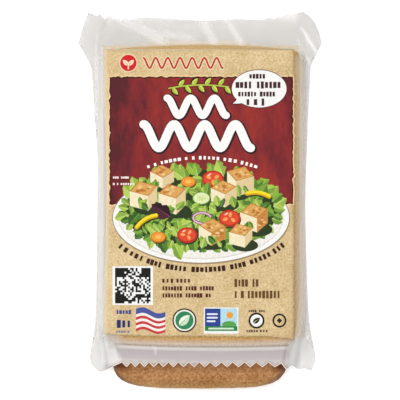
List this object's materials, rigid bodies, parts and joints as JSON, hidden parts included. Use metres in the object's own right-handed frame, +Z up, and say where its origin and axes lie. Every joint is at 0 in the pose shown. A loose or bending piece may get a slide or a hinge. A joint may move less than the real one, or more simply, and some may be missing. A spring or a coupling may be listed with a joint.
{
  "type": "tofu cutlet in film pouch",
  "caption": "Flat browned tofu cutlet with rounded ends in a clear film pouch with a kraft paper label, its bare end showing under the pouch's pinked open edge.",
  "frame": {"origin": "centre of the outline on the surface that the pouch lies on, under the cutlet", "axes": "+Z up, out of the labelled front; +Y from the open mouth towards the closed end with the ears; +X to the right when the label is seen from above"},
  "size_m": [0.1098, 0.1696, 0.0159],
  "materials": {
    "tofu": "browned, dry, fine-grained crust of baked or fried tofu",
    "film": "thin, slightly milky clear packing film, glossy, with creases and heat-sealed ends",
    "label": "smooth kraft paper with satin printing inks"
  },
  "bodies": {
    "root": {"cutlet": "tofu", "pouch": "film", "label": "label"}
  },
  "joints": []
}
